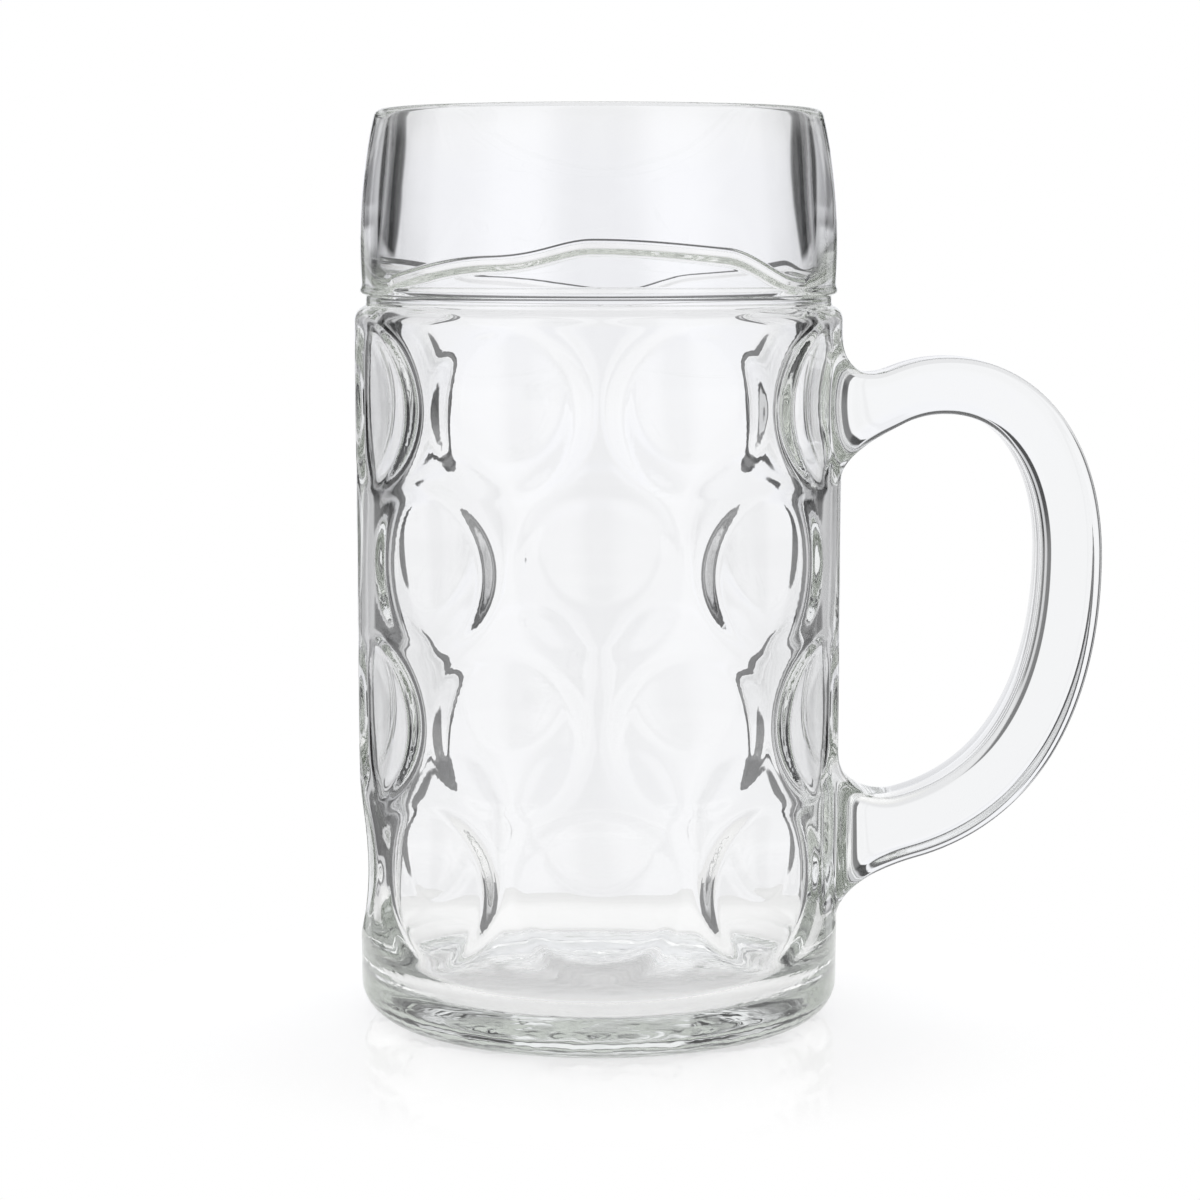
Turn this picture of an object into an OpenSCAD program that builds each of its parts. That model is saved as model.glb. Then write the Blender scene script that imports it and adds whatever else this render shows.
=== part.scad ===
// Dimpled glass beer mug: a heavy blown vessel with staggered rows of round dimples and a stuck-on handle.
// It stands on Z = 0 with its axis on Z, and the handle points along +X.

/* [Vessel] */
// Height from the table to the lip
height = 202; // [185:1:220]
// Outer radius of the wall at the shoulder, the widest place
shoulder_r = 54.2; // [53:0.1:58]
// Outer radius of the wall at the table, before the base is rounded
base_r = 53.7; // [51:0.1:56]
// Glass thickness of the wall between dimples
wall = 5.2; // [4.8:0.1:8]
// Glass thickness of the floor at the axis
floor_t = 8; // [6:0.5:16]
// Rounding from the wall to the underside
base_round = 8; // [4:0.5:12]
// Rounding from the inner wall to the inner floor
floor_round = 8; // [3:0.5:10]
// Width of the ring that the mug stands on
ring_w = 4; // [2:0.5:8]
// Height of the hollow under the base
hollow_h = 2.5; // [1:0.1:4]
// Rounding of the shoulder
shoulder_round = 3.5; // [2:0.1:4]

/* [Drinking band] */
// Height of the smooth band from the middle of the groove to the lip
band_h = 41.6; // [34:0.2:46]
// Outer radius of the band at its belly
band_r = 52.8; // [52.2:0.1:54]
// Height of the belly above the middle of the groove
belly_h = 12; // [8:0.5:18]
// Radius of the band's barrelled outline
band_curve = 125; // [90:1:180]
// Glass thickness of the band at its belly
band_wall = 3.7; // [3.4:0.1:6]
// Thickness of the rounded lip
lip_t = 3.6; // [3.2:0.1:5]
// Depth of the groove below the band
groove_depth = 1.2; // [0.9:0.1:1.8]
// Height of the groove between band and shoulder
groove_h = 2.2; // [1.6:0.1:3]
// Least glass thickness at the groove
neck_wall = 2.5; // [1.8:0.1:3.4]
// Radius of the bead along the band's lower edge
bead_r = 1; // [0.7:0.1:1.4]
// How far the bead stands out from the band
bead_out = 0.5; // [0.2:0.1:0.6]

/* [Dimples] */
// Rows of dimples
rows = 4; // [1:1:4]
// Places for a dimple in each row
places = 8; // [4:2:8]
// Height of the centres of the lowest row
first_row_z = 35.6; // [30:0.1:36]
// Distance between rows
row_pitch = 34; // [32.4:0.1:35]
// Diameter of a dimple's outline on the wall
dimple_d = 36; // [28:0.5:37]
// Depth of a dimple
dimple_depth = 4; // [3:0.1:5]
// Glass thickness behind the middle of a dimple
dimple_wall = 5; // [4:0.1:6]

/* [Handle] */
// Distance from the mug's axis to the outside of the handle
handle_reach = 111.4; // [100:0.2:125]
// Height of the top of the handle
handle_top = 147.2; // [142:0.1:152]
// Distance from the mug's axis to the top of the handle
handle_top_x = 77; // [72:0.5:84]
// Height at which the handle reaches furthest out
handle_side = 103.5; // [92:0.5:112]
// Height of the upper foot's middle
upper_foot = 136.5; // [130:0.1:138]
// Height of the lower foot's middle
lower_foot = 40.8; // [38:0.1:56]
// Thickness of the handle at its upper end
handle_t_top = 11.5; // [9:0.1:14]
// Thickness of the handle at its lower end
handle_t_low = 14.6; // [9:0.1:16]
// Width of the handle across the mug
handle_w = 20; // [14:0.5:24]
// Radius of the flare above and below the upper foot
upper_flare = 14; // [7:0.1:16]
// Radius of the flare above and below the lower foot
lower_flare = 16; // [7:0.1:18]
// Radius of the flare on both sides of each foot
side_flare = 7; // [4:0.1:9]

/* [Hidden] */
$fn = 96;
glass = [0.85, 0.9, 0.89, 0.5];

// Heights of the groove, and of the belly above it
groove_z = height - band_h;
shoulder_z = groove_z - groove_h / 2;
band_z = groove_z + groove_h / 2;
belly_z = groove_z + belly_h;

// The wall is a cone that leans out from the base to the shoulder
lean = atan((shoulder_r - base_r) / shoulder_z);
function wall_r(z) = base_r + z * tan(lean);
function inner_r(z) = wall_r(z) - wall;

// Middle of a circle of radius r at height z that touches the cone of radius cone_r at the table from inside
function touching(z, r, cone_r) = [cone_r + z * tan(lean) - r / cos(lean), z];
// Where that circle touches the cone
function touch_point(z, r, cone_r) = touching(z, r, cone_r) + r * [cos(lean), -sin(lean)];

// Outer and inner radius of the neck below the band
neck_r = band_r - groove_depth;
neck_in = min(inner_r(shoulder_z), neck_r - neck_wall);
// Where the neck is narrower than the wall, the shoulder closes in to it with the wall's thickness
ceiling_z = shoulder_z - wall;
ceiling = [[inner_r(ceiling_z), ceiling_z], [neck_in, ceiling_z]];

// The band's barrelled outline, and the lip's circle, which touches it from inside
function band_at(z) = band_r - band_curve + sqrt(pow(band_curve, 2) - pow(z - belly_z, 2));
lip_r = lip_t / 2;
lip_z = height - lip_r;
band_mid = [band_r - band_curve, belly_z];
lip_mid = [band_mid[0] + sqrt(pow(band_curve - lip_r, 2) - pow(lip_z - belly_z, 2)), lip_z];
lip_normal = (lip_mid - band_mid) / (band_curve - lip_r);

// Inner face of the band: from the belly straight to where it touches the lip's circle
inner_belly = [band_r - band_wall, belly_z];
to_lip = lip_mid - inner_belly;
lip_turn = atan2(to_lip[1], to_lip[0]) + asin(lip_r / norm(to_lip));
inner_lip = inner_belly + sqrt(pow(norm(to_lip), 2) - pow(lip_r, 2)) * [cos(lip_turn), sin(lip_turn)];

// The underside's hollow is a shallow dome inside the standing ring
ring_x = touching(base_round, base_round, base_r)[0];
hollow_x = ring_x - ring_w;
hollow_curve = (pow(hollow_x, 2) + pow(hollow_h, 2)) / (2 * hollow_h);

// A dimple's crown is one circle up the wall and a wider one across it, so that its outline comes out round
dimple_r = dimple_d / 2;
crown_up = (pow(dimple_r, 2) + pow(dimple_depth, 2)) / (2 * dimple_depth);
crown_across = 1 / (2 * dimple_depth / pow(dimple_r, 2) - 1 / shoulder_r);
tool_margin = 2;
tool_r = dimple_r + tool_margin;
tool_turn = asin(tool_r / crown_across);

// Every second row is turned by half a step
step = 360 / places;
function row_turn(row) = row % 2 == 0 ? 0 : step / 2;
// The wall stays plain under the handle, and opposite it above the lowest row
function is_plain(row, place) = row % 2 == 0 && (place == 0 || (row > 0 && place == places / 2));

// The handle's middle line: three curves from foot to foot, and a straight end inside the wall at each foot
foot_sink = dimple_depth + 2;
leg_ease = 0.45;
upper_fullness = 0.6;
lower_fullness = 0.63;
top_mid = [handle_top_x, handle_top - handle_t_top / 2];
side_mid = [handle_reach - (handle_t_top + handle_t_low) / 4, handle_side];
upper_wall = [wall_r(upper_foot), upper_foot];
lower_wall = [wall_r(lower_foot), lower_foot];
leg = [leg_ease * (top_mid[0] - upper_wall[0]), 0];
upper_bend = upper_fullness * (side_mid - top_mid);
lower_bend = lower_fullness * (side_mid - lower_wall);
curves = [
    [upper_wall, upper_wall + leg, top_mid - leg, top_mid],
    [top_mid, top_mid + [upper_bend[0], 0], side_mid - [0, upper_bend[1]], side_mid],
    [side_mid, side_mid - [0, lower_bend[1]], lower_wall + [lower_bend[0], 0], lower_wall]
];
curve_steps = [16, 14, 32];
section_steps = 28;
squareness = 9;

function curve_point(c, t) =
    pow(1 - t, 3) * c[0] + 3 * t * pow(1 - t, 2) * c[1] + 3 * pow(t, 2) * (1 - t) * c[2] + pow(t, 3) * c[3];
function curve_slope(c, t) =
    pow(1 - t, 2) * (c[1] - c[0]) + 2 * t * (1 - t) * (c[2] - c[1]) + pow(t, 2) * (c[3] - c[2]);

// Places along the middle line as [point, direction, share of the way]
stations = [
    [upper_wall - [foot_sink, 0], [1, 0], 0],
    for (i = [0:len(curves) - 1])
        for (k = [(i == 0 ? 0 : 1):curve_steps[i]])
            let (t = k / curve_steps[i], d = curve_slope(curves[i], t))
            [curve_point(curves[i], t), d / norm(d), (i + t) / len(curves)],
    [lower_wall - [foot_sink, 0], [-1, 0], 1]
];

// A foot widens along an arc that stops a little before it would lie flat on the wall
flare_stop = 0.08;
function flare(gap, r) =
    let (left = r * (1 - flare_stop) - max(gap, 0))
    left <= 0 ? 0 : r - sqrt(pow(r, 2) - pow(left, 2));
function wall_gap(s) = s[0][0] - wall_r(s[0][1]);
function half_t(s) =
    (handle_t_top + s[2] * (handle_t_low - handle_t_top)) / 2
        + flare(wall_gap(s), s[2] < 0.5 ? upper_flare : lower_flare);
function half_w(s) = handle_w / 2 + flare(wall_gap(s), side_flare);

// One rounded square section across the middle line
function rounded(v) = sign(v) * pow(abs(v), 2 / squareness);
function section(s) = [
    for (k = [0:section_steps - 1])
        let (
            a = 360 * k / section_steps,
            out = half_t(s) * rounded(cos(a)) * [-s[1][1], s[1][0]],
            across = half_w(s) * rounded(sin(a))
        )
        [s[0][0] + out[0], across, s[0][1] + out[1]]
];

// Closed skin over a row of sections
module skin(sections) {
    count = len(sections[0]);
    last = len(sections) - 1;
    sides = [
        for (i = [0:last - 1])
            for (k = [0:count - 1])
                let (a = i * count + k, b = i * count + (k + 1) % count)
                each [[a, a + count, b], [b, a + count, b + count]]
    ];
    first_end = [for (k = [0:count - 1]) k];
    last_end = [for (k = [0:count - 1]) last * count + count - 1 - k];
    polyhedron([for (s = sections) each s], concat(sides, [first_end, last_end]));
}

// Outline of the wall from the table to the shoulder, with round corners
module wall_outline() {
    shoulder_mid = touching(shoulder_z - shoulder_round, shoulder_round, base_r);
    polygon([
        [0, 0],
        [ring_x, 0],
        touch_point(base_round, base_round, base_r),
        touch_point(shoulder_mid[1], shoulder_round, base_r),
        [shoulder_mid[0], shoulder_z],
        [0, shoulder_z]
    ]);
    translate([ring_x, base_round]) circle(base_round);
    translate(shoulder_mid) circle(shoulder_round);
}

// Outline of the band: barrelled, with a bead below and a round lip above
module band_outline() {
    bead_z = band_z + bead_r;
    intersection() {
        translate(band_mid) circle(band_curve);
        polygon([
            [0, band_z],
            [band_r, band_z],
            [band_r, lip_mid[1]] + lip_t * lip_normal,
            lip_mid + lip_t * lip_normal,
            lip_mid,
            [0, lip_mid[1]]
        ]);
    }
    translate([band_at(bead_z) + bead_out - bead_r, bead_z]) circle(bead_r);
    translate(lip_mid) circle(lip_r);
    translate([0, band_z]) square([lip_mid[0], height - band_z]);
}

// Outline of the space inside, which runs round the lip and out at the top
module cavity_outline() {
    corner = touching(floor_t + floor_round, floor_round, base_r - wall);
    above = height + lip_t;
    difference() {
        union() {
            polygon([
                [0, floor_t],
                [corner[0], floor_t],
                touch_point(corner[1], floor_round, base_r - wall),
                if (neck_in < inner_r(shoulder_z)) each ceiling,
                [neck_in, shoulder_z],
                inner_belly,
                inner_lip,
                lip_mid,
                [lip_mid[0], above],
                [0, above]
            ]);
            translate(corner) circle(floor_round);
        }
        translate(lip_mid) circle(lip_r);
    }
}

// Solid that sinks a dimple into the wall at height z. Grown by the glass thickness, it bulges the cavity.
module dimple_tool(z, grow = 0) {
    tool_back = crown_across - dimple_depth - pow(tool_r, 2) / shoulder_r - tool_margin;
    translate([wall_r(z) - dimple_depth + crown_across, 0, z])
        rotate(180 - tool_turn)
            rotate_extrude(angle = 2 * tool_turn)
                intersection() {
                    translate([crown_across - crown_up, 0]) circle(crown_up + grow);
                    translate([tool_back, -tool_r]) square([crown_across + grow - tool_back, 2 * tool_r]);
                }
}

module dimples(grow = 0) {
    for (row = [0:rows - 1], place = [0:places - 1])
        if (!is_plain(row, place))
            rotate(place * step + row_turn(row)) dimple_tool(first_row_z + row * row_pitch, grow);
}

// The vessel's outside as one solid, which the handle's feet lie against
module vessel_blank() {
    difference() {
        rotate_extrude() {
            wall_outline();
            translate([0, shoulder_z - shoulder_round]) square([neck_r, groove_h + shoulder_round]);
            band_outline();
        }
        dimples();
    }
}

module vessel() {
    color(glass) difference() {
        vessel_blank();
        difference() {
            rotate_extrude() cavity_outline();
            dimples(dimple_wall);
        }
        translate([0, 0, hollow_h - hollow_curve]) sphere(hollow_curve);
    }
}

module handle() {
    color(glass) difference() {
        skin([for (s = stations) section(s)]);
        vessel_blank();
    }
}

vessel();
handle();
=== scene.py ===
"""Looks of the dimpled glass beer mug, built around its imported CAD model."""

import math

import bmesh
import bpy
import numpy as np
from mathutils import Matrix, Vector, geometry


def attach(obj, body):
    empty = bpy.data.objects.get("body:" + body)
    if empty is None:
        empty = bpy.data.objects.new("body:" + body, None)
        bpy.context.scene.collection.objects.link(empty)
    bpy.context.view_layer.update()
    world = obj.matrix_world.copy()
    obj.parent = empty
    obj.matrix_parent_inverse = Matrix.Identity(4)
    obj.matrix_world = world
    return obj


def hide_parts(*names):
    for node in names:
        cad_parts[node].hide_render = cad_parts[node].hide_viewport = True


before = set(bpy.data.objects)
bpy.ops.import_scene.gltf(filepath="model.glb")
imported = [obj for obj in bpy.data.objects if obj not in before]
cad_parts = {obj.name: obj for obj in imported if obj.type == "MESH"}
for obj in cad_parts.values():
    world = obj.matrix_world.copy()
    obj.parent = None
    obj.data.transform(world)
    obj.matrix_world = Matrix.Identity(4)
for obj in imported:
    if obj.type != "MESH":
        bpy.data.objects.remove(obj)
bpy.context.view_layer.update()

# Sizes in millimetres, the same as in the CAD model
MM = 0.001
HEIGHT = 202.0
SHOULDER_R = 54.2
BASE_R = 53.7
WALL = 5.2
FLOOR_T = 8.0
BASE_ROUND = 8.0
FLOOR_ROUND = 8.0
RING_W = 4.0
HOLLOW_H = 2.5
SHOULDER_ROUND = 3.5
BAND_H = 41.6
BAND_R = 52.8
BELLY_H = 12.0
BAND_CURVE = 125.0
BAND_WALL = 3.7
LIP_T = 3.6
GROOVE_DEPTH = 1.2
GROOVE_H = 2.2
BEAD_R = 1.0
BEAD_OUT = 0.5
ROWS = 4
PLACES = 8
FIRST_ROW_Z = 35.6
ROW_PITCH = 34.0
DIMPLE_DEPTH = 4.0
DIMPLE_WALL = 5.0
HANDLE_REACH = 111.4
HANDLE_TOP = 147.2
HANDLE_TOP_X = 77.0
HANDLE_SIDE = 103.5
UPPER_FOOT = 136.5
LOWER_FOOT = 40.8
HANDLE_T_TOP = 11.5
HANDLE_T_LOW = 14.6
HANDLE_W = 20.0

GROOVE_Z = HEIGHT - BAND_H
SHOULDER_Z = GROOVE_Z - GROOVE_H / 2
BAND_Z = GROOVE_Z + GROOVE_H / 2
BELLY_Z = GROOVE_Z + BELLY_H
NECK_R = BAND_R - GROOVE_DEPTH
INNER_R = SHOULDER_R - WALL
LEAN = (SHOULDER_R - BASE_R) / SHOULDER_Z

# Softness of moulded glass: how far the dish of a dimple reaches, and where its round shoulder ends.
# The bulges inside are a little wider
DISH_R = 15.8
EDGE_R = 18.4
BULGE_H = DIMPLE_DEPTH + DIMPLE_WALL - WALL
BULGE_DISH_R = 15.5
BULGE_EDGE_R = 18.85

# Slight unevenness of blown glass: waves round the mug, radians per millimetre up, start and share
RIPPLES = ((3, 0.031, 0.4, 1.0), (5, -0.052, 2.1, 0.7), (7, 0.083, 4.0, 0.5), (11, -0.11, 1.2, 0.35))
RIPPLE_H = 0.05

# The wavy step inside the band, above which the glass is thinner. Each wave rises to a crest.
# Angles are in degrees from the middle of a wave, and the first wave has its middle at the front
STEP_WAVES = 3
FRONT = -90
STEP_LOW_Z = 162.1
RISE_H = 5.6
RISE_UP = (-73, -27)
RISE_DOWN = (56, 32)
CREST_H = 3.6
CREST_AT = -1.4
CREST_W = (13.4, 38.3)
# How thick the step is, how high its slope is, and the height that its rows are laid out for
STEP_T = 2.1
STEP_H = 2.4
STEP_MEAN = 166.0
# The shallow groove along its top: depth, half its height, and how far above the step's middle it runs
STEP_GROOVE = (0.36, 0.85, 1.9)
# Heights between which the roll under the step rises from the wall, the inside rows begin and cease
# to follow the step, and the step runs out below the lip
ROLL_Z = (153.0, 165.0)
FOLLOW_UP = (154, 163)
FOLLOW_DOWN = (190, 170)
LIP_FADE = (HEIGHT - 6, HEIGHT - 18)
# The wall grows thicker towards the floor: by how much, from what height, and from what radius
FOOT_T = 2.6
FOOT_H = 24.0
FOOT_FROM_R = 30.0

# Points in each row of the vessel's skin, and how many rows its parts have
SIDES = 304
UNDER_ROWS, RING_ROWS, BASE_ROWS, WALL_ROWS, SHOULDER_ROWS = 8, 3, 10, 120, 8
BEAD_ROWS, BARREL_ROWS, LIP_ROWS, BAND_ROWS = 8, 12, 12, 8
INNER_WALL_ROWS, CORNER_ROWS, FLOOR_ROWS = 80, 9, 7
# Rows along the step: from and to, counted up from its middle, and how many
STEP_ROWS = ((11, 3.8, 5), (3.2, -1.6, 22), (-2.3, -14.2, 14))
# Rows of the neck: how far out of it, and how far above the shoulder or below the band
NECK_LOW = ((0.12, 0.1), (0.0, 0.5))
NECK_HIGH = ((0.0, 0.6), (0.12, 0.15))
# The bead's arc in degrees, the lowest of the band's upper inside rows, and the rings round the two poles
BEAD_ARC = (-85, 40)
BAND_LOW_Z = 179.0
POLE_R = 0.5
# Room between the last row of one part and the first row of the next, for the shoulder in degrees
RING_GAP = 0.8
SHOULDER_GAP = 4
BARREL_GAP = 1.5
LIP_GAP = 1.2
WALL_GAP = 1.4


def wall_r(z):
    """Radius of the outer wall without its dimples."""
    return BASE_R + z * LEAN


def ramp(x, start, end):
    """A smooth way from 0 at start to 1 at end."""
    t = np.clip((x - start) / (end - start), 0.0, 1.0)
    return t * t * (3 - 2 * t)


def bowl(rho, depth, dish_r, edge_r):
    """Depth of a round hollow: a dish up to dish_r, then a round shoulder that ends level at edge_r."""
    slope = 2 * depth / edge_r
    dish = depth - slope * rho**2 / (2 * dish_r)
    shoulder = slope * np.clip(edge_r - rho, 0, None) ** 2 / (2 * (edge_r - dish_r))
    return np.where(rho < dish_r, dish, shoulder)


def dimples(theta, z, face_r, depth, dish_r, edge_r):
    """Sum of the hollows of all dimples at angle theta and height z on a face of radius face_r."""
    step = 2 * math.pi / PLACES
    total = np.zeros(np.broadcast(theta, z).shape)
    for row in range(ROWS):
        turn = step / 2 * (row % 2)
        place = np.round((theta - turn) / step)
        across = face_r * (theta - turn - place * step)
        rho = np.hypot(across, z - FIRST_ROW_Z - row * ROW_PITCH)
        place = place % PLACES
        # Two places under the handle and one opposite stay plain
        plain = (row % 2 == 0) & ((place == 0) | ((row > 0) & (place == PLACES // 2)))
        total += np.where(plain, 0.0, bowl(rho, depth, dish_r, edge_r))
    return total


def ripple(theta, z):
    waves = [share * np.sin(turns * theta + climb * z + start) for turns, climb, start, share in RIPPLES]
    return RIPPLE_H * sum(waves)


def outer_r(theta, z, r):
    """Radius of the outer face where its outline has radius r."""
    return r - dimples(theta, z, SHOULDER_R, DIMPLE_DEPTH, DISH_R, EDGE_R)


def step_height(theta):
    """Height of the step's middle at angle theta."""
    wave = 360 / STEP_WAVES
    turn = (np.degrees(theta) - FRONT + wave / 2) % wave - wave / 2
    rise = ramp(turn, *RISE_UP) * ramp(turn, *RISE_DOWN)
    crest = np.exp(-(((turn - CREST_AT) / np.where(turn < CREST_AT, *CREST_W)) ** 2))
    return STEP_LOW_Z + RISE_H * rise + CREST_H * crest


def inner_face_r(theta, z, r):
    """Radius of the inner face where its outline has radius r."""
    bulge = dimples(theta, z, INNER_R, BULGE_H, BULGE_DISH_R, BULGE_EDGE_R)
    over = z - step_height(theta)
    above = ramp(over, -STEP_H / 2, STEP_H / 2)
    depth, half, at = STEP_GROOVE
    groove = depth * np.clip(1 - ((over - at) / half) ** 2, 0, None) ** 2
    fade = ramp(z, *LIP_FADE)
    low = np.clip(1 - (z - FLOOR_T) / FOOT_H, 0, 1)
    foot = FOOT_T * low**2 * ramp(r, FOOT_FROM_R, INNER_R)
    return r - bulge - foot + groove + (STEP_T * above + ripple(theta, z)) * fade


def follow_step(theta, z):
    """Height of an inside row that runs along the step near it."""
    near = ramp(z, *FOLLOW_UP) * ramp(z, *FOLLOW_DOWN)
    return z + near * (step_height(theta) - STEP_MEAN)


def touching(r, z, inset=0.0):
    """Middle of a circle of radius r at height z that touches the wall's face, or one inset from it."""
    return wall_r(z) - inset - r * math.hypot(1, LEAN), z


def arc(mid, r, start, end, count):
    """Points on a circle's arc, angles in degrees."""
    turn = np.radians(np.linspace(start, end, count))
    return np.stack([mid[0] + r * np.cos(turn), mid[1] + r * np.sin(turn)], 1)


def line(a, b, count):
    return np.stack([np.linspace(a[0], b[0], count), np.linspace(a[1], b[1], count)], 1)


def vessel_outline():
    """Rows of the vessel's skin as (r, z): from the middle of the underside up outside, over the lip and
    down inside. Also the first and last row of the outer wall, and the first row of the inside."""
    lean = math.degrees(math.atan(LEAN))
    base_mid = touching(BASE_ROUND, BASE_ROUND)
    hollow_x = base_mid[0] - RING_W
    hollow_r = (hollow_x**2 + HOLLOW_H**2) / (2 * HOLLOW_H)
    under_r = np.linspace(POLE_R, hollow_x, UNDER_ROWS)
    under = np.stack([under_r, np.sqrt(hollow_r**2 - under_r**2) - hollow_r + HOLLOW_H], 1)
    ring = line((hollow_x + RING_GAP, 0), (base_mid[0], 0), RING_ROWS)
    base = arc(base_mid, BASE_ROUND, -90, -lean, BASE_ROWS)
    shoulder_mid = touching(SHOULDER_ROUND, SHOULDER_Z - SHOULDER_ROUND)
    neck_turn = math.degrees(math.acos((NECK_R - shoulder_mid[0]) / SHOULDER_ROUND))
    shoulder = arc(shoulder_mid, SHOULDER_ROUND, -lean, neck_turn - SHOULDER_GAP, SHOULDER_ROWS)
    wall = line(base[-1], shoulder[0], WALL_ROWS)
    neck = [(NECK_R + out, SHOULDER_Z + rise) for out, rise in NECK_LOW]
    neck += [(NECK_R + out, BAND_Z - drop) for out, drop in NECK_HIGH]
    barrel_x = BAND_R - BAND_CURVE
    bead_z = BAND_Z + BEAD_R
    bead_x = barrel_x + math.sqrt(BAND_CURVE**2 - (bead_z - BELLY_Z) ** 2) + BEAD_OUT - BEAD_R
    bead = arc((bead_x, bead_z), BEAD_R, *BEAD_ARC, BEAD_ROWS)
    lip_r = LIP_T / 2
    lip_z = HEIGHT - lip_r
    lip_mid = (barrel_x + math.sqrt((BAND_CURVE - lip_r) ** 2 - (lip_z - BELLY_Z) ** 2), lip_z)
    lip_start = math.degrees(math.atan2(lip_z - BELLY_Z, lip_mid[0] - barrel_x))
    barrel_start = math.degrees(math.asin((bead_z + BARREL_GAP - BELLY_Z) / BAND_CURVE))
    barrel = arc((barrel_x, BELLY_Z), BAND_CURVE, barrel_start, lip_start, BARREL_ROWS)
    inner_belly = (BAND_R - BAND_WALL, BELLY_Z)
    to_lip = np.array(lip_mid) - inner_belly
    lip_turn = math.atan2(to_lip[1], to_lip[0]) + math.asin(lip_r / np.linalg.norm(to_lip))
    lip = arc(lip_mid, lip_r, lip_start, math.degrees(lip_turn) + 90, LIP_ROWS)
    # The inside rows of the band are as thick as the step, and inner_face_r cuts them back above it
    lip_in = lip[-1]
    along_step = np.concatenate([np.linspace(*part) for part in STEP_ROWS])
    band_top = np.linspace(lip_in[1] - LIP_GAP, BAND_LOW_Z, BAND_ROWS)
    band_z = np.concatenate([band_top, STEP_MEAN + along_step])
    share = (band_z - BELLY_Z) / (lip_in[1] - BELLY_Z)
    open_r = inner_belly[0] + share * (lip_in[0] - inner_belly[0]) - STEP_T * ramp(band_z, *LIP_FADE)
    low_r = wall_r(band_z) - WALL
    band = np.stack([low_r + (open_r - low_r) * ramp(band_z, *ROLL_Z), band_z], 1)
    corner_mid = touching(FLOOR_ROUND, FLOOR_T + FLOOR_ROUND, WALL)
    corner = arc(corner_mid, FLOOR_ROUND, -lean, -90, CORNER_ROWS)
    wall_top = band_z[-1] - WALL_GAP
    inner_wall = line((wall_r(wall_top) - WALL, wall_top), corner[0], INNER_WALL_ROWS)
    floor = line((corner_mid[0], FLOOR_T), (POLE_R, FLOOR_T), FLOOR_ROWS)
    below = np.concatenate([under, ring, base[1:], wall[1:], shoulder[1:]])
    outside = np.concatenate([below, neck, bead, barrel, lip[1:]])
    inside = np.concatenate([band, inner_wall, corner[1:], floor[1:]])
    first = len(under) + len(ring) + len(base) - 2
    last = first + len(wall) - 1
    return np.concatenate([outside, inside]), first, last, len(outside)


# The handle's middle line, as in the CAD model
LEG_EASE = 0.45
UPPER_FULLNESS = 0.6
LOWER_FULLNESS = 0.63
TOP_MID = np.array((HANDLE_TOP_X, HANDLE_TOP - HANDLE_T_TOP / 2))
SIDE_MID = np.array((HANDLE_REACH - (HANDLE_T_TOP + HANDLE_T_LOW) / 4, HANDLE_SIDE))
UPPER_WALL = np.array((wall_r(UPPER_FOOT), UPPER_FOOT))
LOWER_WALL = np.array((wall_r(LOWER_FOOT), LOWER_FOOT))
LEG = np.array((LEG_EASE * (TOP_MID[0] - UPPER_WALL[0]), 0.0))
UPPER_BEND = UPPER_FULLNESS * (SIDE_MID - TOP_MID)
LOWER_BEND = LOWER_FULLNESS * (SIDE_MID - LOWER_WALL)
CURVES = (
    (UPPER_WALL, UPPER_WALL + LEG, TOP_MID - LEG, TOP_MID),
    (TOP_MID, TOP_MID + (UPPER_BEND[0], 0), SIDE_MID - (0, UPPER_BEND[1]), SIDE_MID),
    (SIDE_MID, SIDE_MID - (0, LOWER_BEND[1]), LOWER_WALL + (LOWER_BEND[0], 0), LOWER_WALL),
)
# Steps along the three curves, which crowd towards the feet by these powers
CURVE_STEPS = (46, 34, 80)
UPPER_CROWD = 2
LOWER_CROWD = 1.7
# Steps round the section, and how nearly rectangular it is
SECTION_STEPS = 64
SQUARENESS = 9.0
# How far each foot spreads on the wall, and how far out along the handle the spread starts
UPPER_SPREAD = (10.2, 13.4)
LOWER_SPREAD = (11.6, 15.2)
SIDE_SPREAD = (5.0, 7.5)
# Distance over which a section settles on the wall, and rounds that find its place there
SETTLE = 11.0
SETTLE_ROUNDS = 6
# How far the handle's end faces lie inside the wall
SUNK = 0.05


def stations():
    """Places along the middle line as (point, direction, share of the way)."""
    found = []
    for i, (a, b, c, d) in enumerate(CURVES):
        t = np.linspace(0, 1, CURVE_STEPS[i])
        if i == 0:
            t = t**UPPER_CROWD
        if i == len(CURVES) - 1:
            t = 1 - (1 - t) ** LOWER_CROWD
        for v in t[min(i, 1) :]:
            at = (1 - v) ** 3 * a + 3 * v * (1 - v) ** 2 * b + 3 * v**2 * (1 - v) * c + v**3 * d
            way = (1 - v) ** 2 * (b - a) + 2 * v * (1 - v) * (c - b) + v**2 * (d - c)
            found.append((at, way / np.linalg.norm(way), (i + v) / len(CURVES)))
    return found


def spread(gap, size):
    """How much a foot has spread at a distance gap from the wall."""
    left = np.clip(1 - max(gap, 0.0) / size[1], 0, 1)
    return size[0] * (1 - math.sqrt(1 - left**2))


def wall_x(y, z):
    """Where the outer wall is at y and z on the handle's side."""
    x = np.sqrt(wall_r(z) ** 2 - y**2)
    for _ in range(SETTLE_ROUNDS):
        x = np.sqrt(outer_r(np.arctan2(y, x), z, wall_r(z)) ** 2 - y**2)
    return x


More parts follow.
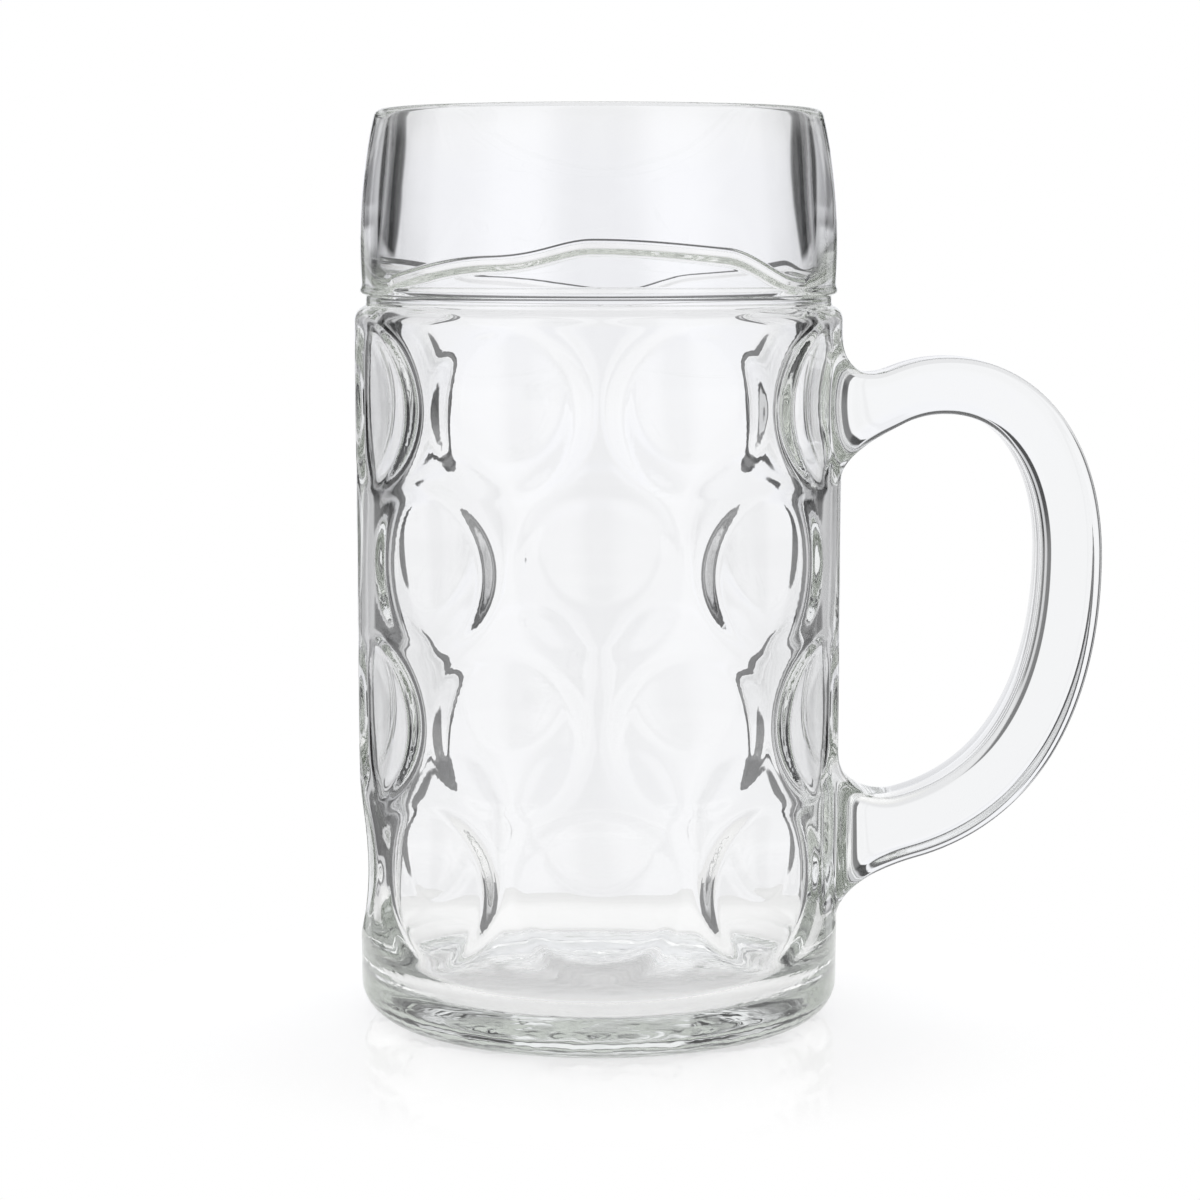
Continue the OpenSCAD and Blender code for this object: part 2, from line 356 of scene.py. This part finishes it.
def handle_ring(at, way, share):
    """One rounded section, which settles on the wall at the feet."""
    gap = at[0] - wall_r(at[1])
    half_t = (HANDLE_T_TOP + share * (HANDLE_T_LOW - HANDLE_T_TOP)) / 2
    half_t += spread(gap, UPPER_SPREAD if share < 0.5 else LOWER_SPREAD)
    half_w = HANDLE_W / 2 + spread(gap, SIDE_SPREAD)
    turn = 2 * math.pi * np.arange(SECTION_STEPS) / SECTION_STEPS
    c, s = np.cos(turn), np.sin(turn)
    r = (np.abs(c) ** SQUARENESS + np.abs(s) ** SQUARENESS) ** (-1 / SQUARENESS)
    out, across = half_t * r * c, half_w * r * s
    x = at[0] - way[1] * out
    z = at[1] + way[0] * out
    settle = 1 - ramp(gap, 0.0, SETTLE)
    if settle > 0:
        x = x + settle * (wall_x(across, z) - wall_r(at[1]))
    return np.stack([x, across, z], 1)


class Skin:
    """Vertices and faces of a mesh, with the faces where the two glass pieces are fused."""

    def __init__(self):
        self.points, self.faces, self.fused = [], [], []
        self.count = 0

    def add(self, points):
        start = self.count
        self.points.append(np.asarray(points, float).reshape(-1, 3))
        self.count += len(self.points[-1])
        return start

    def face(self, corners, fused=False):
        self.faces.append(tuple(int(c) for c in corners))
        self.fused.append(1.0 if fused else 0.0)

    def build(self, name):
        mesh = bpy.data.meshes.new(name)
        mesh.from_pydata((np.concatenate(self.points) * MM).tolist(), [], self.faces)
        mesh.validate()
        joint = mesh.attributes.new("joint", "FLOAT", "FACE")
        joint.data.foreach_set("value", self.fused)
        mesh.polygons.foreach_set("use_smooth", [True] * len(self.faces))
        obj = bpy.data.objects.new(name, mesh)
        bpy.context.scene.collection.objects.link(obj)
        return obj


def inside_loop(points, loop):
    """For each point, whether it is inside the closed loop."""
    x, y = points[:, 0:1], points[:, 1:2]
    ax, ay = loop[:, 0], loop[:, 1]
    bx, by = np.roll(ax, -1), np.roll(ay, -1)
    cross = (ay > y) != (by > y)
    with np.errstate(divide="ignore", invalid="ignore"):
        at = ax + (y - ay) * (bx - ax) / (by - ay)
    return (np.sum(cross & (x < at), 1) % 2) == 1


def to_loop(points, loop):
    """Distance from each point to the nearest corner of the loop, whose corners are close together."""
    apart = points[:, None] - loop[None]
    return np.min(np.hypot(apart[..., 0], apart[..., 1]), 1)


# The wall round a foot: columns and height to spare, the room along the foot's outline that is kept free
# of the grid, and the distance at which two points would be one
PATCH_COLUMNS = 2
PATCH_ROOM = 1.5
PATCH_CLEAR = 0.62
PATCH_CLOSE = 1e-5


def grid_index(j, i):
    """Number of the vertex in row j and column i of the vessel's skin."""
    return j * SIDES + i % SIDES


def foot_patch(skin, loop, wall_z, first, last):
    """Adds the wall round a foot of the handle, cut along loop, the foot's outline. Returns the faces under
    the foot, and the cells of the wall's grid that the patch replaces."""
    arc_mm = SHOULDER_R * 2 * math.pi / SIDES
    flat = np.stack([SHOULDER_R * np.arctan2(loop[:, 1], loop[:, 0]), loop[:, 2]], 1)
    reach = math.ceil(np.abs(flat[:, 0]).max() / arc_mm) + PATCH_COLUMNS
    low = max(j for j in range(first, last) if wall_z[j] < flat[:, 1].min() - PATCH_ROOM)
    high = min(j for j in range(low, last) if wall_z[j] > flat[:, 1].max() + PATCH_ROOM)
    cells = [(j, i) for j in range(low, high + 1) for i in range(-reach, reach + 1)]
    spots = np.array([(i * arc_mm, wall_z[j]) for j, i in cells])
    edge = np.array([j in (low, high) or abs(i) == reach for j, i in cells])
    keep = edge | (to_loop(spots, flat) > PATCH_CLEAR)
    cells = [c for c, k in zip(cells, keep) if k]
    border = (
        [(low, i) for i in range(-reach, reach)]
        + [(j, reach) for j in range(low, high)]
        + [(high, i) for i in range(reach, -reach, -1)]
        + [(j, -reach) for j in range(high, low, -1)]
    )
    number = {c: n for n, c in enumerate(cells)}
    ring = [number[c] for c in border]
    edges = list(zip(ring, ring[1:] + ring[:1]))
    edges += [(len(cells) + k, len(cells) + (k + 1) % len(flat)) for k in range(len(flat))]
    corners = [Vector(p) for p in spots[keep]] + [Vector(p) for p in flat]
    places, _, triangles, origins = geometry.delaunay_2d_cdt(corners, edges, [], 0, PATCH_CLOSE)[:4]
    assert len(places) == len(corners), "the foot's outline crosses the wall's grid"
    start = skin.add(loop)
    index = [grid_index(*c) for c in cells] + [start + k for k in range(len(flat))]
    places = np.array([tuple(v) for v in places])
    under = []
    for triangle in triangles:
        fused = bool(inside_loop(places[list(triangle)].mean(0)[None], flat)[0])
        face = [index[origins[v][0]] for v in triangle]
        skin.face(face, fused)
        if fused:
            under.append(face)
    return under, {(j, i % SIDES) for j in range(low, high) for i in range(-reach, reach)}


def build_vessel(loops):
    """The vessel's closed skin, cut along loops, the outlines of the feet, and the faces under each foot."""
    rows, first, last, inside_from = vessel_outline()
    theta = 2 * math.pi * np.arange(SIDES) / SIDES
    r, z = rows[:, 0:1], rows[:, 1:2]
    inner = np.arange(len(rows))[:, None] >= inside_from
    inside_z = follow_step(theta, z)
    band = (inner & (z > ROLL_Z[0]))[:, 0]
    inside_r = np.where(band[:, None], np.interp(inside_z, z[band, 0][::-1], r[band, 0][::-1]), r)
    radius = np.where(inner, inner_face_r(theta, inside_z, inside_r), outer_r(theta, z, r))
    height = np.where(inner, inside_z, z)
    skin = Skin()
    skin.add(np.stack([radius * np.cos(theta), radius * np.sin(theta), height], -1))
    low_pole = skin.add([[0, 0, HOLLOW_H]])
    top_pole = skin.add([[0, 0, FLOOR_T]])
    patches, taken = [], set()
    for loop in loops:
        under, cells = foot_patch(skin, loop, rows[:, 1], first, last)
        patches.append(under)
        taken |= cells
    end = len(rows) - 1
    for j in range(end):
        for i in range(SIDES):
            if (j, i) not in taken:
                low = (grid_index(j, i), grid_index(j, i + 1))
                high = (grid_index(j + 1, i + 1), grid_index(j + 1, i))
                skin.face(low + high)
    for i in range(SIDES):
        skin.face((low_pole, grid_index(0, i + 1), grid_index(0, i)))
        skin.face((top_pole, grid_index(end, i), grid_index(end, i + 1)))
    return skin, patches


def build_handle(rings, vessel, patches):
    """The handle's closed skin: a tube from foot to foot, closed just inside the wall by the patches."""
    skin = Skin()
    starts = [skin.add(ring) for ring in rings]
    pairs = [(k, (k + 1) % SECTION_STEPS) for k in range(SECTION_STEPS)]
    for a, b in zip(starts, starts[1:]):
        for k, m in pairs:
            skin.face((a + k, a + m, b + m, b + k))
    points = np.concatenate(vessel.points)
    for end, patch in zip((0, -1), patches):
        used = sorted({v for face in patch for v in face})
        under = points[used]
        inner = under.copy()
        inner[:, :2] *= (1 - SUNK / np.hypot(inner[:, 0], inner[:, 1]))[:, None]
        base = skin.add(inner)
        number = {v: base + k for k, v in enumerate(used)}
        for face in patch:
            skin.face([number[v] for v in face[::-1]], True)
        match = [base + int(np.argmin(np.linalg.norm(under - p, axis=1))) for p in rings[end]]
        for k, m in pairs:
            quad = (starts[end] + k, match[k], match[m], starts[end] + m)
            skin.face(quad if end == 0 else quad[::-1], True)
    return skin


def closed(obj):
    """Turns all faces outwards and marks the edges between glass and fused joint as sharp."""
    bm = bmesh.new()
    bm.from_mesh(obj.data)
    bmesh.ops.recalc_face_normals(bm, faces=bm.faces)
    layer = bm.faces.layers.float["joint"]
    for e in bm.edges:
        f = e.link_faces
        if len(f) != 2:
            raise RuntimeError(f"{obj.name} has an open edge at {e.verts[0].co}")
        if f[0][layer] != f[1][layer]:
            e.smooth = False
    bm.to_mesh(obj.data)
    bm.free()
    return obj


rings = [handle_ring(*station) for station in stations()]
vessel_skin, patches = build_vessel([rings[0], rings[-1]])
handle_skin = build_handle(rings, vessel_skin, patches)
vessel = closed(vessel_skin.build("vessel_glass"))
handle = closed(handle_skin.build("handle_glass"))


# The glass: refraction, and the tint that it takes with its thickness
IOR = 1.52
GLASS_TINT = (0.90, 0.915, 0.887, 1)
GLASS_DENSITY = 12.0
# Its waviness: grain as waves per metre and detail, and heights in millimetres. The base has more of it,
# up to a height in metres
SKIN_GRAIN, SKIN_WAVE_H = (45.0, 1.0), 0.05
BASE_GRAIN, BASE_WAVE_H = (130.0, 2.0), 0.45
BASE_WAVE_Z = (0.0045, 0.0078)
# Its roughness: a stippled underside up to a height and radius in metres, and faint smears.
# The limits of the grain that count as clear and as full
UNDER_Z, UNDER_R = (0.0026, 0.0036), (0.0455, 0.0470)
UNDER_GRAIN, UNDER_LIMITS, UNDER_ROUGH = (260.0, 4.0), (0.4, 0.62), (0.02, 0.22)
SMEAR_GRAIN, SMEAR_LIMITS, SMEAR_ROUGH = (60.0, 3.0), (0.45, 0.75), (0.0, 0.02)


def feed(nt, socket, value):
    """Puts a number or a colour on the socket, or links an output to it."""
    if isinstance(value, (int, float, tuple)):
        socket.default_value = value
    else:
        nt.links.new(value, socket)


def math_node(nt, op, a, b=None, c=None, clamp=False):
    m = nt.nodes.new("ShaderNodeMath")
    m.operation = op
    m.use_clamp = clamp
    for socket, value in zip(m.inputs, (a, b, c)):
        if value is not None:
            feed(nt, socket, value)
    return m.outputs[0]


def map_range(nt, value, a, b, lo=0.0, hi=1.0):
    m = nt.nodes.new("ShaderNodeMapRange")
    m.interpolation_type = "SMOOTHSTEP"
    nt.links.new(value, m.inputs["Value"])
    m.inputs["From Min"].default_value = a
    m.inputs["From Max"].default_value = b
    m.inputs["To Min"].default_value = lo
    m.inputs["To Max"].default_value = hi
    return m.outputs["Result"]


def noise(nt, coords, scale, detail):
    n = nt.nodes.new("ShaderNodeTexNoise")
    n.inputs["Scale"].default_value = scale
    n.inputs["Detail"].default_value = detail
    nt.links.new(coords.outputs["Object"], n.inputs["Vector"])
    return n.outputs["Fac"]


def length(nt, vector):
    m = nt.nodes.new("ShaderNodeVectorMath")
    m.operation = "LENGTH"
    nt.links.new(vector, m.inputs[0])
    return m.outputs["Value"]


def clear_glass():
    """Heavy soda-lime glass: clear, with a grey-green tint where it is thick."""
    mat = bpy.data.materials.new("soda_glass")
    mat.use_nodes = True
    nt = mat.node_tree
    nt.nodes.clear()
    out = nt.nodes.new("ShaderNodeOutputMaterial")
    p = nt.nodes.new("ShaderNodeBsdfPrincipled")
    p.inputs["Base Color"].default_value = (1, 1, 1, 1)
    p.inputs["Transmission Weight"].default_value = 1.0
    p.inputs["IOR"].default_value = IOR
    # The fused faces don't refract
    joint = nt.nodes.new("ShaderNodeAttribute")
    joint.attribute_name = "joint"
    ior = nt.nodes.new("ShaderNodeMapRange")
    ior.inputs["To Min"].default_value = IOR
    ior.inputs["To Max"].default_value = 1.0
    nt.links.new(joint.outputs["Fac"], ior.inputs["Value"])
    nt.links.new(ior.outputs["Result"], p.inputs["IOR"])
    inside = nt.nodes.new("ShaderNodeVolumeAbsorption")
    inside.inputs["Color"].default_value = GLASS_TINT
    inside.inputs["Density"].default_value = GLASS_DENSITY
    # Fire-polished faces with a little waviness, an uneven base and a stippled underside
    coords = nt.nodes.new("ShaderNodeTexCoord")
    split = nt.nodes.new("ShaderNodeSeparateXYZ")
    nt.links.new(coords.outputs["Object"], split.inputs[0])
    up = split.outputs["Z"]
    at_base = map_range(nt, up, *BASE_WAVE_Z, 1.0, 0.0)
    base_wave = math_node(nt, "MULTIPLY", noise(nt, coords, *BASE_GRAIN), at_base)
    skin_wave = math_node(nt, "MULTIPLY", noise(nt, coords, *SKIN_GRAIN), SKIN_WAVE_H)
    bump = nt.nodes.new("ShaderNodeBump")
    bump.inputs["Distance"].default_value = MM
    nt.links.new(math_node(nt, "MULTIPLY_ADD", base_wave, BASE_WAVE_H, skin_wave), bump.inputs["Height"])
    nt.links.new(bump.outputs["Normal"], p.inputs["Normal"])
    flat = nt.nodes.new("ShaderNodeVectorMath")
    flat.operation = "MULTIPLY"
    flat.inputs[1].default_value = (1, 1, 0)
    nt.links.new(coords.outputs["Object"], flat.inputs[0])
    from_axis = map_range(nt, length(nt, flat.outputs["Vector"]), *UNDER_R, 1.0, 0.0)
    under = math_node(nt, "MULTIPLY", map_range(nt, up, *UNDER_Z, 1.0, 0.0), from_axis)
    stipple = map_range(nt, noise(nt, coords, *UNDER_GRAIN), *UNDER_LIMITS, *UNDER_ROUGH)
    smear = map_range(nt, noise(nt, coords, *SMEAR_GRAIN), *SMEAR_LIMITS, *SMEAR_ROUGH)
    nt.links.new(math_node(nt, "MULTIPLY_ADD", under, stipple, smear), p.inputs["Roughness"])
    nt.links.new(p.outputs["BSDF"], out.inputs["Surface"])
    nt.links.new(inside.outputs["Volume"], out.inputs["Volume"])
    return mat


glass = clear_glass()
for piece, node in ((vessel, "vessel"), (handle, "handle")):
    piece.data.materials.append(glass)
    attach(piece, "root")
    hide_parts(node)


# Studio
BOUNCES = 48
CLEAR_BOUNCES = 16
scene = bpy.context.scene
scene.view_settings.view_transform = "Standard"
scene.cycles.max_bounces = BOUNCES
scene.cycles.transmission_bounces = BOUNCES
scene.cycles.glossy_bounces = BOUNCES
scene.cycles.transparent_max_bounces = CLEAR_BOUNCES

# Brightness of the studio that the glass sees, by the angle from the +Y axis in degrees: a white backdrop
# behind the mug, a dark edge on both sides of it, light strips, dark corners, light walls and a white front
STUDIO = (
    (0, 0.94), (0.8, 0.94), (1.8, 1.0), (13.3, 1.0), (14.3, 0.02), (23, 0.03), (27, 0.66), (36.5, 0.66),
    (39, 0.02), (66, 0.02), (76, 0.62), (112, 0.62), (128, 1.0), (148, 1.0), (160, 0.66),
)
# Heights of a ray's direction between which one zone of the studio runs out into the next. Far below is
# the white table, and nearer to the horizon its white takes on a share of the studio round the mug
LOW_LEVEL = 0.84
NEAR_UP, NEAR_SHARE = (-0.36, -0.28), 0.82
HORIZON_UP = (-0.1, -0.04)
# Only towards +Y, the backdrop has a light top with dark above it. The light overhead is all round
TOP_UP, TOP_Y = (0.168, 0.195), (0.8, 0.86)
DARK_UP, DARK_END, DARK_Y = (0.22, 0.3), (0.6, 0.75), (0.0, 0.3)
DARK_LEVEL = 0.1
OVERHEAD_UP = (0.62, 0.78)
OVERHEAD = 0.95
# Tint of the studio below and above
TINT_LOW = (0.98, 0.983, 1.0)
TINT_HIGH = (0.96, 0.966, 1.0)
TINT_UP = (-0.09, 0.02)
# Brightness for diffuse light
SOFT_LEVEL = 0.9


def sees(nt):
    """1 for camera, glossy and transmission rays, which see the white studio. Also the light path's node."""
    path = nt.nodes.new("ShaderNodeLightPath")
    a = math_node(nt, "MAXIMUM", path.outputs["Is Camera Ray"], path.outputs["Is Glossy Ray"])
    return math_node(nt, "MAXIMUM", a, path.outputs["Is Transmission Ray"]), path


def grey(level):
    return (level, level, level, 1)


def around(nt, split):
    """Brightness in the direction of a ray round the mug."""
    side = math_node(nt, "ABSOLUTE", split.outputs["X"])
    turn = math_node(nt, "DIVIDE", math_node(nt, "ARCTAN2", side, split.outputs["Y"]), math.pi)
    levels = nt.nodes.new("ShaderNodeValToRGB")
    stops = levels.color_ramp.elements
    stops.remove(stops[1])
    for k, (angle, level) in enumerate(STUDIO):
        stop = stops[0] if k == 0 else stops.new(angle / 180)
        stop.position = angle / 180
        stop.color = grey(level)
    nt.links.new(turn, levels.inputs["Fac"])
    return levels.outputs["Color"]


def mixed(nt, factor, a, b, blend="MIX"):
    m = nt.nodes.new("ShaderNodeMix")
    m.data_type = "RGBA"
    m.blend_type = blend
    for key, value in (("Factor", factor), ("A", a), ("B", b)):
        feed(nt, m.inputs[key], value)
    return m.outputs["Result"]


def make_world():
    world = bpy.data.worlds.new("studio")
    scene.world = world
    world.use_nodes = True
    nt = world.node_tree
    nt.nodes.clear()
    out = nt.nodes.new("ShaderNodeOutputWorld")
    back = nt.nodes.new("ShaderNodeBackground")
    coords = nt.nodes.new("ShaderNodeTexCoord")
    split = nt.nodes.new("ShaderNodeSeparateXYZ")
    nt.links.new(coords.outputs["Generated"], split.inputs[0])
    y, up = split.outputs["Y"], split.outputs["Z"]
    middle = around(nt, split)
    near = math_node(nt, "MULTIPLY", map_range(nt, up, *NEAR_UP), NEAR_SHARE)
    low = mixed(nt, near, grey(LOW_LEVEL), middle)
    studio = mixed(nt, map_range(nt, up, *HORIZON_UP), low, middle)
    top = math_node(nt, "MULTIPLY", map_range(nt, up, *TOP_UP), map_range(nt, y, *TOP_Y))
    studio = mixed(nt, top, studio, grey(OVERHEAD))
    dark = math_node(nt, "MULTIPLY", map_range(nt, up, *DARK_UP), map_range(nt, up, *DARK_END, 1.0, 0.0))
    dark = math_node(nt, "MULTIPLY", dark, map_range(nt, y, *DARK_Y))
    studio = mixed(nt, dark, studio, grey(DARK_LEVEL))
    studio = mixed(nt, map_range(nt, up, *OVERHEAD_UP), studio, grey(OVERHEAD))
    tint = mixed(nt, map_range(nt, up, *TINT_UP), (*TINT_LOW, 1), (*TINT_HIGH, 1))
    studio = mixed(nt, 1.0, studio, tint, "MULTIPLY")
    # Camera rays see plain white, glass and gloss see the studio, and diffuse light is plain and soft
    seen, path = sees(nt)
    looked = math_node(nt, "SUBTRACT", seen, path.outputs["Is Camera Ray"], clamp=True)
    nt.links.new(mixed(nt, looked, grey(1.0), studio), back.inputs["Color"])
    nt.links.new(math_node(nt, "MULTIPLY_ADD", seen, 1.0 - SOFT_LEVEL, SOFT_LEVEL), back.inputs["Strength"])
    nt.links.new(back.outputs[0], out.inputs[0])


make_world()


# The floor, in metres: its radius, where it begins to run out into white, its corners and its height
FLOOR_R = 0.115
FLOOR_FADE = 0.07
FLOOR_SIDES = 96
FLOOR_Z = -0.0002
# Its look: grey, polish and gloss, and how much it shines for rays that see the studio and through glass
FLOOR_GREY = 0.5
FLOOR_ROUGH = 0.05
FLOOR_GLOSS = 0.12
FLOOR_SHINE = 0.55
FLOOR_THROUGH = 0.1


def make_floor():
    """A pale disc with the mug's shadow and a faint mirror image, which runs out into the white round it."""
    mesh = bpy.data.meshes.new("floor")
    turns = [2 * math.pi * k / FLOOR_SIDES for k in range(FLOOR_SIDES)]
    points = [(FLOOR_R * math.cos(t), FLOOR_R * math.sin(t), FLOOR_Z) for t in turns]
    mesh.from_pydata(points, [], [tuple(range(FLOOR_SIDES))])
    obj = bpy.data.objects.new("floor", mesh)
    scene.collection.objects.link(obj)
    mat = bpy.data.materials.new("pale_floor")
    mat.use_nodes = True
    nt = mat.node_tree
    p = nt.nodes["Principled BSDF"]
    p.inputs["Base Color"].default_value = grey(FLOOR_GREY)
    p.inputs["Roughness"].default_value = FLOOR_ROUGH
    p.inputs["Specular IOR Level"].default_value = FLOOR_GLOSS
    p.inputs["Emission Color"].default_value = grey(1)
    seen, path = sees(nt)
    through = math_node(nt, "MULTIPLY", path.outputs["Is Transmission Ray"], FLOOR_THROUGH)
    nt.links.new(math_node(nt, "MULTIPLY_ADD", seen, FLOOR_SHINE, through), p.inputs["Emission Strength"])
    coords = nt.nodes.new("ShaderNodeTexCoord")
    white = nt.nodes.new("ShaderNodeEmission")
    bright = math_node(nt, "MULTIPLY_ADD", path.outputs["Is Camera Ray"], 1.0 - LOW_LEVEL, LOW_LEVEL)
    nt.links.new(bright, white.inputs["Strength"])
    mix = nt.nodes.new("ShaderNodeMixShader")
    rim = map_range(nt, length(nt, coords.outputs["Object"]), FLOOR_FADE, FLOOR_R)
    nt.links.new(rim, mix.inputs["Fac"])
    nt.links.new(p.outputs["BSDF"], mix.inputs[1])
    nt.links.new(white.outputs["Emission"], mix.inputs[2])
    nt.links.new(mix.outputs["Shader"], nt.nodes["Material Output"].inputs["Surface"])
    mesh.materials.append(mat)


make_floor()


# The camera: width of the picture, focal length and shift in pixels, pitch in degrees, and metres
PICTURE_W = 1200
FOCAL_PX = 3228
SHIFT_PX = 1.2
SENSOR_W = 36.0
PITCH = 6.589
CAMERA_AT = (0.0, -0.720, 0.17626)
CLIP = (0.05, 20)


def make_camera():
    data = bpy.data.cameras.new("camera")
    cam = bpy.data.objects.new("camera", data)
    scene.collection.objects.link(cam)
    data.sensor_width = SENSOR_W
    data.lens = FOCAL_PX / PICTURE_W * SENSOR_W
    cam.location = CAMERA_AT
    cam.rotation_euler = (math.pi / 2 - math.radians(PITCH), 0.0, 0.0)
    data.shift_x = SHIFT_PX / PICTURE_W
    data.clip_start, data.clip_end = CLIP
    scene.camera = cam


make_camera()
